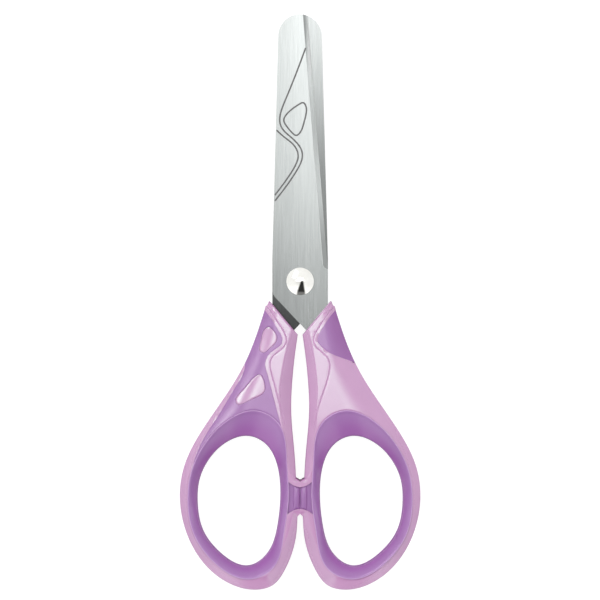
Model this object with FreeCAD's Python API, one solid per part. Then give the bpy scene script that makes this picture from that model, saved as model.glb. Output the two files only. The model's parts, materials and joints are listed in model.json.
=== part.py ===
"""School scissors with blunt tips and two-tone moulded handles, 130 mm long, lying flat.

The two halves are the same mouldings and the same blade, one turned half a turn about the
scissors' long axis. One half is built here and turned to make the other. It is drawn about
the pivot: X to the right, Y towards the tips, Z = 0 on the plane where the blades meet.
That half has the front blade and the right handle. Its front face (+Z) carries the small
grip patch, and its rear face (-Z) the large grip sleeve with two windows.

The exported frame has its origin under the middle of the outline, on the surface that the
scissors lie on, with +Y towards the tips and +Z up.
"""

import FreeCAD, Part
import math
import os

V = FreeCAD.Vector

# ---------------------------------------------------------------- driving sizes, mm
BLADE_REACH = 60.4  # pivot to tip
BLADE_THICKNESS = 1.2
BLADE_HALF_WIDTH = 6.3  # at the pivot
BLADE_GAP = 0.04  # between the two inner faces
TIP_RADIUS = 4.95
SPINE_TAPER_START = 5.0  # above the pivot
EDGE_HEEL = 2.5  # cutting edge starts this far above the pivot
EDGE_AT_TIP = 1.7  # cutting edge's distance from the centre line at the tip
BEVEL_WIDTH = 1.08
EDGE_LAND = 0.12  # thickness left at the cutting edge
BEVEL_RUNOUT = 1.6  # radius where the grinding leaves the blade

SHOULDER_DROP = 2.9  # pivot to the corner where the spine turns into the tang
SHOULDER_RADIUS = 2.5
TANG_ENTRY_DROP = 9.6  # where the tang's lower edge crosses the centre line
TANG_WIDTH = 4.0
TANG_DEPTH = 24.0  # pivot to the tang's end
TANG_LEAN = 0.24  # sideways drift of the tang per unit of depth
TANG_HOLE_RADIUS = 1.1
TANG_HOLE_DEPTHS = (15.0, 20.5)  # the moulding flows through these

RIVET_HEAD_RADIUS = 3.1
RIVET_HEAD_HEIGHT = 1.15
RIVET_RIM = 0.2  # straight rim under the dome
RIVET_SOCKET_RADIUS = 1.75  # the blades turn on this tube
RIVET_PIN_RADIUS = 1.05
RUNNING_CLEARANCE = 0.04  # front blade on the tube, and under the rivet head

HANDLE_REACH = 69.6  # pivot to the far end of the ring
HANDLE_HALF_WIDTH = 27.2  # centre line to the widest point
RING_HALF_THICKNESS = 4.2
COLLAR_HALF_THICKNESS = 2.8
TAPER_TOP = 4.0  # pivot to where the handle is thinnest
TAPER_END = 29.0  # pivot to where it reaches full thickness
RIM_HEIGHT = 2.2  # half height of the handle's upright side wall
RIM_WIDTH = 1.3  # width of the slope from that wall to the face
STOP_GAP = 0.2  # between the two closed handles

LINER_RECESS = 0.15  # the ring liner's faces lie this far below the frame's
LINER_CREST = 0.5  # flat crest round the dish
HOLE_WALL_HALF = 1.4  # half height of the finger hole's upright wall

GRIP_THICKNESS = 1.1
GRIP_RECESS = 0.05  # the soft grip lies this far below the hard faces
PAD_HALF_HEIGHT = 2.8
PAD_NOSE = 1.25  # depth of the stop pad's round nose
PAD_WEB_HALF_HEIGHT = 1.6

# ---------------------------------------------------------------- handle outlines
# Points are (across, down): mm from the centre line and mm below the pivot, for a handle
# of the width and reach just below, round a blade of the width below. place() stretches
# them to the driving sizes.
DRAWN_HALF_WIDTH = 27.2
DRAWN_REACH = 69.6
DRAWN_BLADE_HALF_WIDTH = 6.3
DRAWN_COLLAR = 12.05  # nothing above this depth is stretched lengthways
DRAWN_SHANK = 35.0  # the blade's width shapes the handle down to this depth

COLLAR_INNER = (0.55, 12.05)
COLLAR_TIP = (6.95, 4.45)
COLLAR_STEP = (7.9, 5.6)
NOTCH = [(7.0, 4.2), (7.45, 5.5), (8.2, 5.65)]
RING_OUTER = [
    (8.15, 6.5), (10.35, 13.0), (13.35, 19.9), (17.8, 27.1), (22.7, 34.4), (26.15, 41.6),
    (27.2, 48.4), (26.45, 54.4), (24.45, 59.7), (20.65, 65.0), (16.1, 68.3), (10.3, 69.6),
    (6.1, 68.5), (3.5, 65.2), (1.9, 61.5), (0.95, 57.6), (0.6, 53.0),
]
STOP_BELOW = 52.4
STOP_ABOVE = 45.1
SHANK_INNER = [
    (0.95, 44.5), (1.25, 39.5), (1.8, 33.5), (2.05, 28.5), (1.85, 23.5), (1.35, 18.0),
    COLLAR_INNER,
]
# The finger hole and the ring liner's outer edge, point for point round the ring.
FINGER_HOLE = [
    (11.7, 35.0), (16.3, 36.2), (20.5, 40.1), (22.8, 45.0), (23.3, 50.0), (22.1, 56.0),
    (18.2, 61.3), (11.6, 64.3), (7.3, 61.3), (5.2, 55.5), (4.5, 49.0), (5.1, 42.0), (7.6, 37.0),
]
LINER_EDGE = [
    (10.0, 29.05), (16.0, 31.0), (21.5, 36.5), (24.6, 43.0), (25.4, 49.5), (24.2, 56.5),
    (20.0, 62.8), (11.2, 67.15), (6.0, 64.6), (3.6, 57.0), (2.55, 49.0), (2.95, 40.5), (4.8, 32.0),
]
# The sleeve: its edge along the rim, from the side wall down to the ring, and its inner edge.
SLEEVE_RIM_EDGE = [
    (12.9, 18.4), (12.6, 19.3), (13.0, 21.0), (14.4, 23.5), (18.1, 29.7), (22.4, 36.7),
    (24.2, 41.0), (25.0, 44.2),
]
SLEEVE_INNER_EDGE = [
    (3.75, 34.4), (4.9, 30.3), (6.4, 24.6), (7.5, 20.6), (7.85, 18.4), (7.0, 16.5),
    (4.5, 14.3), (3.95, 13.1), (5.0, 10.9), (8.2, 6.4),
]
PATCH_EDGE = [(8.2, 6.4), (5.0, 10.2), (3.85, 13.0), (5.4, 15.2), (8.2, 16.9), (12.3, 18.4)]
UPPER_WINDOW = [(7.3, 10.15), (5.1, 12.9), (6.9, 15.1), (8.9, 16.1), (9.2, 14.8), (8.5, 11.4)]
LOWER_WINDOW = [
    (9.2, 20.95), (7.8, 23.9), (9.6, 26.2), (14.2, 27.7), (13.7, 25.4), (11.2, 22.6),
]
PAD_CORNERS = [(0.0, 46.4), (2.6, 45.2), (2.6, 52.2), (0.0, 51.2)]
PAD_EDGE_SAG = 0.3  # how far the pad's two ends bow towards each other


# ---------------------------------------------------------------- drawing helpers
def place(point):
    """An outline point as a vector in the pivot frame, stretched to the driving sizes."""
    across, down = point
    below_collar = max(0.0, down - DRAWN_COLLAR)
    stretch = (HANDLE_REACH - DRAWN_COLLAR) / (DRAWN_REACH - DRAWN_COLLAR)
    depth = min(down, DRAWN_COLLAR) + below_collar * stretch
    outwards = min(1.0, across / DRAWN_BLADE_HALF_WIDTH)
    upwards = min(1.0, max(0.0, (DRAWN_SHANK - down) / (DRAWN_SHANK - DRAWN_COLLAR)))
    wider_blade = (BLADE_HALF_WIDTH - DRAWN_BLADE_HALF_WIDTH) * outwards * upwards
    return V(across * HANDLE_HALF_WIDTH / DRAWN_HALF_WIDTH + wider_blade, -depth, 0)


def placed(points):
    return [place(p) for p in points]


def spline(points, closed=False):
    """A smooth edge through the points."""
    curve = Part.BSplineCurve()
    curve.interpolate(Points=points, PeriodicFlag=closed)
    return curve.toShape()


def line(start, end):
    return Part.makeLine(start, end)


def slab(wire, low, high):
    """The wire's area as a solid between two heights."""
    face = Part.Face(wire)
    face.translate(V(0, 0, low))
    return face.extrude(V(0, 0, high - low))


def polygon(points):
    return Part.makePolygon([*points, points[0]])


def inset(points, distances):
    """Each point of a closed outline moved inwards, square to its two sides."""
    moved = []
    turn = sum(a.x * b.y - b.x * a.y for a, b in zip(points, points[1:] + points[:1]))
    side = 1 if turn > 0 else -1
    for i, p in enumerate(points):
        before = (p - points[i - 1]).normalize()
        after = (points[(i + 1) % len(points)] - p).normalize()
        n1 = V(-before.y, before.x, 0) * side
        n2 = V(-after.y, after.x, 0) * side
        moved.append(p + (n1 + n2) * (distances[i] / (1 + n1.dot(n2))))
    return moved


def lifted(wire, height):
    copy = wire.copy()
    copy.translate(V(0, 0, height))
    return copy


def fused(shapes):
    """Touching solids as one."""
    return shapes[0].multiFuse(shapes[1:]).removeSplitter()


def turned(shape):
    """The same piece on the other half: half a turn about the long axis."""
    copy = shape.copy()
    copy.rotate(V(0, 0, 0), V(0, 1, 0), 180)
    return copy


# ---------------------------------------------------------------- blade
def blade_inner_face():
    return BLADE_GAP / 2


def blade_outer_face():
    return BLADE_GAP / 2 + BLADE_THICKNESS


def edge_line():
    """The cutting edge's heel and its unit direction towards the tip, seen from above."""
    heel = V(BLADE_HALF_WIDTH, EDGE_HEEL, 0)
    tip = V(EDGE_AT_TIP, BLADE_REACH, 0)
    return heel, (tip - heel).normalize()


def tip_arc():
    """The blunt tip, from the spine over the top to the cutting edge."""
    centre = V(0, BLADE_REACH - TIP_RADIUS, 0)
    spine_start = V(-BLADE_HALF_WIDTH, SPINE_TAPER_START, 0)
    reach = spine_start - centre
    bearing = math.atan2(reach.y, reach.x)
    tangent = bearing - math.acos(TIP_RADIUS / reach.Length)
    spine_end = centre + V(math.cos(tangent), math.sin(tangent), 0) * TIP_RADIUS
    heel, along = edge_line()
    to_centre = centre - heel
    mid = to_centre.dot(along)
    half = math.sqrt(TIP_RADIUS**2 - (to_centre - along * mid).Length ** 2)
    edge_end = heel + along * (mid + half)
    top = centre + V(0, TIP_RADIUS, 0)
    return spine_start, spine_end, top, edge_end


def tang_corners():
    """The tang's four lower corners, from the left of its end round to its right root."""
    root = V(BLADE_HALF_WIDTH - TANG_WIDTH / 2, -SHOULDER_DROP * 2, 0)
    end_centre = V(root.x + TANG_LEAN * (TANG_DEPTH + root.y), -TANG_DEPTH, 0)
    along = (end_centre - root).normalize()
    across = V(-along.y, along.x, 0) * (TANG_WIDTH / 2)
    return root, along, across, end_centre


def blade_outline():
    spine_start, spine_end, top, edge_end = tip_arc()
    heel, _ = edge_line()
    shoulder = V(-BLADE_HALF_WIDTH, -SHOULDER_DROP, 0)
    entry = V(0, -TANG_ENTRY_DROP, 0)
    root, along, across, end_centre = tang_corners()
    diagonal = (entry - shoulder).normalize()
    left_root = root - across
    gap = left_root - shoulder
    reach = (gap.x * along.y - gap.y * along.x) / (diagonal.x * along.y - diagonal.y * along.x)
    tang_left = shoulder + diagonal * reach
    corner_back = SHOULDER_RADIUS * math.tan(math.atan2(diagonal.x, -diagonal.y) / 2)
    arc_start = shoulder + V(0, corner_back, 0)
    arc_end = shoulder + diagonal * corner_back
    arc_centre = arc_start + V(SHOULDER_RADIUS, 0, 0)
    arc_mid = arc_centre + (shoulder - arc_centre).normalize() * SHOULDER_RADIUS
    end_left = end_centre - across
    end_right = end_centre + across
    end_tip = end_centre + along * (TANG_WIDTH / 2)
    root_right = V(BLADE_HALF_WIDTH, (root + across).y, 0)
    return Part.Wire([
        line(spine_start, spine_end),
        Part.Arc(spine_end, top, edge_end).toShape(),
        line(edge_end, heel),
        line(heel, root_right),
        line(root_right, end_right),
        Part.Arc(end_right, end_tip, end_left).toShape(),
        line(end_left, tang_left),
        line(tang_left, arc_end),
        Part.Arc(arc_end, arc_mid, arc_start).toShape(),
        line(arc_start, spine_start),
    ])


def bevel_tool():
    """What the grinding wheel takes off: a rounded strip on the bevel plane, raised off it."""
    heel, along = edge_line()
    into_blade = V(-along.y, along.x, 0)
    rise = BLADE_THICKNESS - EDGE_LAND
    slope = into_blade * BEVEL_WIDTH + V(0, 0, rise)
    face_width = slope.Length
    slope = slope.normalize()
    outward = slope.cross(along)
    if outward.z < 0:
        outward = outward * -1
    start = heel + V(0, 0, blade_inner_face() + EDGE_LAND)
    past_tip = BLADE_REACH + TIP_RADIUS
    low_side = -face_width

    def on_plane(lengthways, up_slope):
        return start + along * lengthways + slope * up_slope

    radius = min(BEVEL_RUNOUT, face_width - low_side)
    arc_mid = on_plane(radius * (1 - math.sqrt(0.5)), face_width - radius * (1 - math.sqrt(0.5)))
    strip = Part.Wire([
        line(on_plane(past_tip, low_side), on_plane(past_tip, face_width)),
        line(on_plane(past_tip, face_width), on_plane(radius, face_width)),
        Part.Arc(on_plane(radius, face_width), arc_mid, on_plane(0, face_width - radius)).toShape(),
        line(on_plane(0, face_width - radius), on_plane(0, low_side)),
        line(on_plane(0, low_side), on_plane(past_tip, low_side)),
    ])
    return Part.Face(strip).extrude(outward * (3 * BLADE_THICKNESS))


def tang_holes():
    root, along, _, _ = tang_corners()
    holes = []
    for depth in TANG_HOLE_DEPTHS:
        centre = root + along * ((depth + root.y) / -along.y)
        holes.append(Part.makeCylinder(TANG_HOLE_RADIUS, BLADE_THICKNESS * 3, centre - V(0, 0, BLADE_THICKNESS)))
    return holes


def blade(bore_radius):
    blank = slab(blade_outline(), blade_inner_face(), blade_outer_face())
    bore = Part.makeCylinder(bore_radius, BLADE_THICKNESS * 3, V(0, 0, -BLADE_THICKNESS))
    return blank.cut([bevel_tool(), bore, *tang_holes()])


# ---------------------------------------------------------------- pivot rivet
def dome(radius, rim, height):
    """A round head on Z = 0: a straight rim and a domed top."""
    crown = height - rim
    sphere_radius = (radius**2 + crown**2) / (2 * crown)
    shoulder = math.sqrt(0.5) * radius
    rise = math.sqrt(sphere_radius**2 - shoulder**2) - (sphere_radius - crown)
    arc = Part.Arc(V(radius, 0, rim), V(shoulder, 0, rim + rise), V(0, 0, height)).toShape()
    profile = Part.Wire([
        line(V(0, 0, 0), V(radius, 0, 0)),
        line(V(radius, 0, 0), V(radius, 0, rim)),
        arc,
        line(V(0, 0, height), V(0, 0, 0)),
    ])
    return Part.Face(profile).revolve(V(0, 0, 0), V(0, 0, 1), 360)


def pivot_rivet():
    """The front half of the rivet: a domed head with a solid pin, pressed into the socket."""
    seat = blade_outer_face() + RUNNING_CLEARANCE
    head = dome(RIVET_HEAD_RADIUS, RIVET_RIM, RIVET_HEAD_HEIGHT)
    head.translate(V(0, 0, seat))
    pin_length = seat + blade_outer_face()
    pin = Part.makeCylinder(RIVET_PIN_RADIUS, pin_length, V(0, 0, -blade_outer_face()))
    return fused([head, pin])


def pivot_socket():
    """The rear half: a domed head with the tube that both blades sit on."""
    seat = blade_outer_face()
    head = turned(dome(RIVET_HEAD_RADIUS, RIVET_RIM, RIVET_HEAD_HEIGHT))
    head.translate(V(0, 0, -seat))
    tube_length = 2 * seat + RUNNING_CLEARANCE
    tube = Part.makeCylinder(RIVET_SOCKET_RADIUS, tube_length, V(0, 0, -seat))
    bore = Part.makeCylinder(RIVET_PIN_RADIUS, tube_length, V(0, 0, -seat))
    return fused([head, tube]).cut(bore)


# ---------------------------------------------------------------- handle
def handle_outline(rim_share):
    """The handle's outline, moved inwards by a share of the rim's width."""
    collar = placed([COLLAR_TIP, COLLAR_STEP])
    ring = placed(RING_OUTER)
    stop_x = STOP_GAP / 2
    stop = [V(stop_x, place((0, d)).y, 0) for d in (STOP_BELOW, STOP_ABOVE)]
    shank = placed(SHANK_INNER)
    points = [*collar, *ring, *stop, *shank]
    full = rim_share * RIM_WIDTH
    slight = full / 6
    slight_ends = {0, 1, 2, len(points) - 1}
    distances = [slight if i in slight_ends else full for i in range(len(points))]
    points = inset(points, distances)
    ring_end = 2 + len(ring)
    tip, step = points[0], points[1]
    ring, stop, shank = points[2:ring_end], points[ring_end : ring_end + 2], points[ring_end + 2 :]
    return Part.Wire([
        line(tip, step),
        line(step, ring[0]),
        spline(ring),
        line(ring[-1], stop[0]),
        line(stop[0], stop[1]),
        line(stop[1], shank[0]),
        spline(shank),
        line(shank[-1], tip),
    ])


def side_profile(shaved=0.0):
    """Everything between the handle's front and rear faces, less a skin of both."""
    ring_half = RING_HALF_THICKNESS - shaved
    collar_half = COLLAR_HALF_THICKNESS - shaved
    far = -HANDLE_REACH - RING_HALF_THICKNESS
    upper = [
        V(0, far, ring_half),
        V(0, -TAPER_END, ring_half),
        V(0, -TAPER_TOP, collar_half),
        V(0, 0, collar_half),
    ]
    lower = [V(0, p.y, -p.z) for p in reversed(upper)]
    reach = HANDLE_HALF_WIDTH + RING_HALF_THICKNESS
    return Part.Face(polygon(upper + lower)).extrude(V(reach, 0, 0))


def handle_blank():
    """The whole handle as one solid: an upright wall with a sloped rim on both faces."""
    top = RING_HALF_THICKNESS
    sections = [
        lifted(handle_outline(1), -top),
        lifted(handle_outline(0), -RIM_HEIGHT),
        lifted(handle_outline(0), RIM_HEIGHT),
        lifted(handle_outline(1), top),
    ]
    body = Part.makeLoft(sections, True, True)
    notch = slab(polygon([V(p.x, p.y, 0) for p in placed(NOTCH)]), -top, top)
    return body.common(side_profile()).cut(notch)


def through(wire):
    """A prism through the whole handle and past both faces."""
    past = RING_HALF_THICKNESS * 1.5
    return slab(wire, -past, past)


def liner_prism():
    return through(Part.Wire(spline(placed(LINER_EDGE), closed=True)))


def ring_liner():
    """Soft ring round the finger hole, dished from its crest down to the hole."""
    edge = placed(LINER_EDGE)
    hole = Part.Wire(spline(placed(FINGER_HOLE), closed=True))
    crest = Part.Wire(spline(inset(edge, [LINER_CREST] * len(edge)), closed=True))
    face = RING_HALF_THICKNESS - LINER_RECESS
    rings = [
        lifted(crest, -face),
        lifted(hole, -HOLE_WALL_HALF),
        lifted(hole, HOLE_WALL_HALF),
        lifted(crest, face),
    ]
    dish = Part.makeLoft(rings, True, True)
    body = slab(Part.Wire(spline(edge, closed=True)), -face, face)
    return body.cut(dish)


def pad_prism(high=None):
    """The stop pad's area, with its two ends bowed towards each other."""
    top_in, top_out, low_out, low_in = placed(PAD_CORNERS)
    bow = V(0, PAD_EDGE_SAG, 0)
    top_mid = (top_in + top_out) * 0.5 - bow
    low_mid = (low_in + low_out) * 0.5 + bow
    wire = Part.Wire([
        Part.Arc(top_in, top_mid, top_out).toShape(),
        line(top_out, low_out),
        Part.Arc(low_out, low_mid, low_in).toShape(),
        line(low_in, top_in),
    ])
    return through(wire)


def stop_pad():
    """Soft pad where the closed handles meet: a round nose on a thin web."""
    face = STOP_GAP / 2
    pad_length = HANDLE_REACH
    centre = V(face + PAD_NOSE, -pad_length, 0)
    nose = Part.Ellipse(centre + V(0, 0, PAD_HALF_HEIGHT), centre + V(PAD_NOSE, 0, 0), centre)
    bar = Part.Face(Part.Wire(nose.toShape())).extrude(V(0, pad_length, 0))
    web_reach = place(PAD_CORNERS[1]).x
    web = Part.makeBox(
        web_reach, pad_length, 2 * PAD_WEB_HALF_HEIGHT, V(centre.x, -pad_length, -PAD_WEB_HALF_HEIGHT)
    )
    return fused([bar, web]).common(pad_prism()).cut(liner_prism())


def grip_sleeve(blank):
    """Soft grip: the big sleeve behind, the patch in front, and the side that joins them."""
    core = side_profile(GRIP_THICKNESS)
    skin = side_profile(GRIP_RECESS)
    far = RING_HALF_THICKNESS * 2
    outer = HANDLE_HALF_WIDTH * 1.2

    rim_edge, inner_edge = placed(SLEEVE_RIM_EDGE), placed(SLEEVE_INNER_EDGE)
    root = inner_edge[-1]
    outside_top = V(outer, root.y, 0)
    outside_low = V(outer, rim_edge[0].y, 0)
    across_ring = placed([(20.0, 45.0), (8.0, 40.0)])
    behind = Part.Wire([
        spline(rim_edge),
        line(rim_edge[-1], across_ring[0]),
        line(across_ring[0], across_ring[1]),
        line(across_ring[1], inner_edge[0]),
        spline(inner_edge),
        line(root, outside_top),
        line(outside_top, outside_low),
        line(outside_low, rim_edge[0]),
    ])
    windows = [slab(Part.Wire(spline(placed(w), closed=True)), -far, 0) for w in (UPPER_WINDOW, LOWER_WINDOW)]
    rear = slab(behind, -far, 0).cut([liner_prism(), core, *windows])

    patch = placed(PATCH_EDGE)
    patch_outside = [V(outer, patch[-1].y, 0), V(outer, patch[0].y, 0)]
    ahead = Part.Wire([
        spline(patch),
        line(patch[-1], patch_outside[0]),
        line(patch_outside[0], patch_outside[1]),
        line(patch_outside[1], patch[0]),
    ])
    front = slab(ahead, 0, far).cut(core)

    side = placed(RING_OUTER)[:3]
    side_in = [p - V(GRIP_THICKNESS, 0, 0) for p in side]
    strip = Part.Wire([
        spline(side_in),
        line(side_in[-1], V(outer, side_in[-1].y, 0)),
        line(V(outer, side_in[-1].y, 0), V(outer, side_in[0].y, 0)),
        line(V(outer, side_in[0].y, 0), side_in[0]),
    ])
    low_end = slab(polygon([V(0, root.y, 0), V(outer, root.y, 0),
                            V(outer, patch[-1].y, 0), V(0, patch[-1].y, 0)]), -far, far)
    wrap = through(strip).common(low_end)
    return fused([rear, front, wrap]).common(blank).common(skin)


def handle_frame(blank, grip, tang):
    """Hard handle: the blank less the soft pieces' seats and the tang's socket."""
    return blank.cut([liner_prism(), pad_prism(), grip, tang])


# ---------------------------------------------------------------- assembly
def one_half():
    blank = handle_blank()
    grip = grip_sleeve(blank)
    plain_blade = blade(RIVET_SOCKET_RADIUS)
    frame = handle_frame(blank, grip, plain_blade)
    return {
        "handle_frame": frame,
        "grip_sleeve": grip,
        "ring_liner": ring_liner(),
        "stop_pad": stop_pad(),
    }


def assembly():
    half = one_half()
    pieces = {"right_" + name: shape for name, shape in half.items()}
    pieces.update({"left_" + name: turned(shape) for name, shape in half.items()})
    pieces["front_blade"] = blade(RIVET_SOCKET_RADIUS + RUNNING_CLEARANCE)
    pieces["rear_blade"] = turned(blade(RIVET_SOCKET_RADIUS))
    pieces["pivot_rivet"] = pivot_rivet()
    pieces["pivot_rivet_socket"] = pivot_socket()
    return pieces


def main():
    os.makedirs("parts", exist_ok=True)
    to_rest = V(0, (HANDLE_REACH - BLADE_REACH) / 2, RING_HALF_THICKNESS)
    for name, shape in assembly().items():
        shape.translate(to_rest)
        solids = shape.Solids
        body = solids[0] if len(solids) == 1 else Part.makeCompound(solids)
        body.exportStep("parts/" + name + ".step")
        box = body.BoundBox
        print(
            f"{name}: {len(solids)} solid(s), {body.Volume:.1f} mm3, valid {body.isValid()}, "
            f"x {box.XMin:.2f}..{box.XMax:.2f} y {box.YMin:.2f}..{box.YMax:.2f} z {box.ZMin:.2f}..{box.ZMax:.2f}"
        )


main()
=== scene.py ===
"""Blunt-tipped craft scissors with two-tone moulded handles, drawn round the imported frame.

The two handles are the same moulding, one turned half a turn about the scissors' long axis,
so each piece is built once for the right handle and turned for the left. Handle drawing is
in millimetres about the pivot: x away from the centre line, y towards the tips, and heights
measured outwards from the plane where the blades meet. A handle has two different faces.
The grip face has a long soft sleeve with two windows, and the plain face a small soft patch.
"""

import json
import math

import bmesh
import bpy
import numpy as np
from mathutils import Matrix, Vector
from mathutils.geometry import delaunay_2d_cdt

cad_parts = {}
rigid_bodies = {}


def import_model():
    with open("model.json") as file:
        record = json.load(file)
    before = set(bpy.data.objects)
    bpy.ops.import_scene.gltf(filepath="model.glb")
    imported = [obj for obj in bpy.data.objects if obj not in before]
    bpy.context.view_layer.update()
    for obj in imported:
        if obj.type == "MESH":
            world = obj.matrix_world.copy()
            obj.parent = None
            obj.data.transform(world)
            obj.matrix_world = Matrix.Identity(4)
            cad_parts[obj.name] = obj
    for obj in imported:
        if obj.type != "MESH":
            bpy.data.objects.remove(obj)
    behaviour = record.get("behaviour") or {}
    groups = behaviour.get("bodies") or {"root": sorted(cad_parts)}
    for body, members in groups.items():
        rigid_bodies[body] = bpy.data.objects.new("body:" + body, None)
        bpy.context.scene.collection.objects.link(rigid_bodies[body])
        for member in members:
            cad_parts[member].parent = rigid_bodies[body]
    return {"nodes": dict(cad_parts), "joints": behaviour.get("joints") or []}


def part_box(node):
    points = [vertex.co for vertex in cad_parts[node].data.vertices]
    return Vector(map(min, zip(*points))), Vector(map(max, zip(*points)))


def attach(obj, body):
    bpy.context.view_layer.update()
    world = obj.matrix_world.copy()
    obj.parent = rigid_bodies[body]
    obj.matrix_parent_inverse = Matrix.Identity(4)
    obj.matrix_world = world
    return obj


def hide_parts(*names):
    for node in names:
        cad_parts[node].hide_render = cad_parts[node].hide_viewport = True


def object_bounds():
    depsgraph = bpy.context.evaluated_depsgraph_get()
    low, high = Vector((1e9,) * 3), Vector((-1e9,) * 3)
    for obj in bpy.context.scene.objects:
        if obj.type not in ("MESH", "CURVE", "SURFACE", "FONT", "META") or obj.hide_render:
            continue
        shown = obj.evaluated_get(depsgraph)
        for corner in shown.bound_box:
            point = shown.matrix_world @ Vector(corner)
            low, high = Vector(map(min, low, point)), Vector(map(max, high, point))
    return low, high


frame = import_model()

CAD_LOW, CAD_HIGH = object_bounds()
MM = 0.001
PIVOT = Vector(frame["joints"][0]["pos_m"])
FRONT_BODY = frame["joints"][0]["child"]
REAR_BODY = frame["joints"][0]["parent"]
BLADE_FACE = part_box("front_blade")[1].z - PIVOT.z

# ------------------------------------------------------------------ outlines, (across, down) mm
COLLAR_TIP = [
    (6.78, 4.58), (6.9, 4.44), (7.04, 4.46), (7.14, 4.62), (7.4, 5.3), (7.5, 5.46), (7.74, 5.52), (7.88, 5.7),
    (8.02, 6.3), (8.04, 6.44),
]
RING_OUTER = [
    (8.06, 6.5), (10.2, 13.0), (13.22, 19.9), (17.7, 27.1), (22.62, 34.4), (26.12, 41.6),
    (27.14, 48.4), (26.35, 54.4), (24.32, 59.7), (20.4, 65.0), (15.75, 68.25), (10.3, 69.58),
    (6.1, 68.5), (3.5, 65.2), (1.9, 61.5), (0.95, 57.6), (0.6, 53.0),
]
SHANK_INNER = [
    (0.95, 44.5), (1.25, 39.5), (1.8, 33.5), (2.05, 28.5), (1.85, 23.5), (1.35, 18.0), (0.55, 12.05),
]
PAD_X = 2.62
SEAM_X = 0.003
PAD_ARC_LOW = [(SEAM_X, 51.25), (0.9, 51.4), (1.8, 51.75), (PAD_X, 52.2)]
PAD_ARC_HIGH = [(PAD_X, 45.2), (1.8, 45.8), (0.9, 46.2), (SEAM_X, 46.38)]
FINGER_HOLE = [
    (11.7, 35.0), (16.3, 36.2), (20.5, 40.1), (22.8, 45.0), (23.2, 50.0), (22.1, 56.0),
    (18.2, 61.3), (11.6, 64.3), (7.3, 61.3), (5.2, 55.5), (4.5, 49.0), (5.1, 42.0), (7.6, 37.0),
]
LINER_EDGE = [
    (10.0, 29.05), (16.0, 31.0), (21.5, 36.5), (24.6, 43.0), (25.35, 49.5), (24.2, 56.5),
    (20.0, 62.8), (11.2, 67.15), (6.0, 64.6), (3.6, 57.0), (2.55, 49.0), (2.95, 40.5), (4.8, 32.0),
]
SLEEVE_RIM_EDGE = [
    (12.52, 18.45), (12.5, 19.4), (12.95, 21.0), (14.4, 23.5), (18.1, 29.7), (22.4, 36.7), (24.55, 42.6),
]
SLEEVE_INNER_EDGE = [
    (3.95, 33.9), (4.9, 30.3), (6.4, 24.6), (7.45, 20.7), (7.85, 18.5), (7.2, 16.75), (5.2, 15.0),
    (4.1, 13.9), (4.05, 12.9), (5.0, 10.9), (6.6, 8.3), (8.06, 6.45),
]
SLEEVE_GROOVE = [
    (7.75, 5.7), (6.0, 7.7), (5.0, 9.3), (4.0, 10.8), (3.4, 12.0), (3.1, 13.0), (3.2, 14.0),
    (4.5, 15.6), (6.3, 17.2), (6.75, 18.3), (6.6, 20.2), (5.7, 23.6), (4.9, 26.6), (4.1, 29.8), (3.4, 33.0),
]
PATCH_EDGE = [
    (8.06, 6.45), (6.9, 7.75), (5.1, 10.45), (4.05, 12.5), (3.95, 13.5), (4.9, 14.8), (6.9, 16.25),
    (9.2, 17.2), (12.5, 18.4),
]
PATCH_GROOVE = [
    (7.6, 5.6), (6.0, 7.9), (4.9, 9.4), (3.9, 11.0), (3.15, 12.4), (3.0, 13.3), (3.4, 14.5),
    (5.0, 16.0), (6.3, 17.4), (6.7, 18.8), (6.55, 20.4), (5.4, 24.6), (4.2, 28.2), (3.5, 31.2), (3.1, 33.6),
]
UPPER_WINDOW = [
    (7.15, 10.3), (6.2, 10.9), (5.3, 12.4), (5.45, 13.7), (7.0, 15.25), (8.4, 16.05), (9.05, 15.7),
    (9.0, 14.0), (8.55, 12.0), (8.0, 10.8),
]
LOWER_WINDOW = [
    (9.1, 21.0), (8.5, 21.6), (7.95, 23.4), (8.05, 24.8), (9.3, 25.9), (12.0, 27.1), (14.3, 27.55),
    (14.5, 26.9), (13.2, 24.8), (11.2, 22.5), (9.8, 21.25),
]

# Edge roll-offs: (point on the outline, width of the slope, its drop, how sharply it curves).
OUTER_RING = [
    ((26.15, 41.6), 2.3, 1.25, 1.2), ((27.17, 48.4), 2.2, 1.2, 1.15),
    ((24.45, 59.7), 2.2, 1.2, 1.15), ((16.1, 68.3), 2.6, 1.3, 1.15), ((10.3, 69.58), 2.9, 1.35, 1.15),
    ((3.5, 65.2), 2.7, 1.3, 1.15), ((1.9, 61.5), 2.7, 1.3, 1.15), ((0.95, 57.6), 2.0, 1.0, 1.15),
    ((0.6, 53.0), 1.2, 0.5, 1.15),
]
OUTER_PLAIN = [
    ((6.9, 4.5), 0.8, 0.2, 1.2), ((8.06, 6.5), 3.4, 1.05, 1.8), ((10.2, 13.0), 4.9, 1.75, 2.2),
    ((13.35, 19.9), 6.4, 1.3, 2.0), ((17.8, 27.1), 7.4, 1.35, 2.0), ((20.3, 30.8), 6.4, 1.4, 1.9),
    ((22.7, 34.4), 3.6, 1.5, 1.5), *OUTER_RING,
]
OUTER_GRIP = [
    ((6.9, 4.5), 0.8, 0.2, 1.2), ((8.06, 6.5), 3.4, 0.9, 1.8), ((10.2, 13.0), 4.7, 1.15, 2.1),
    ((12.55, 18.45), 5.3, 1.25, 2.1), ((14.8, 22.5), 5.8, 1.4, 2.1), ((17.8, 27.1), 6.6, 1.8, 2.1),
    ((20.3, 30.8), 6.0, 1.7, 2.0), ((22.7, 34.4), 4.6, 1.55, 1.8), *OUTER_RING,
]
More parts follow.
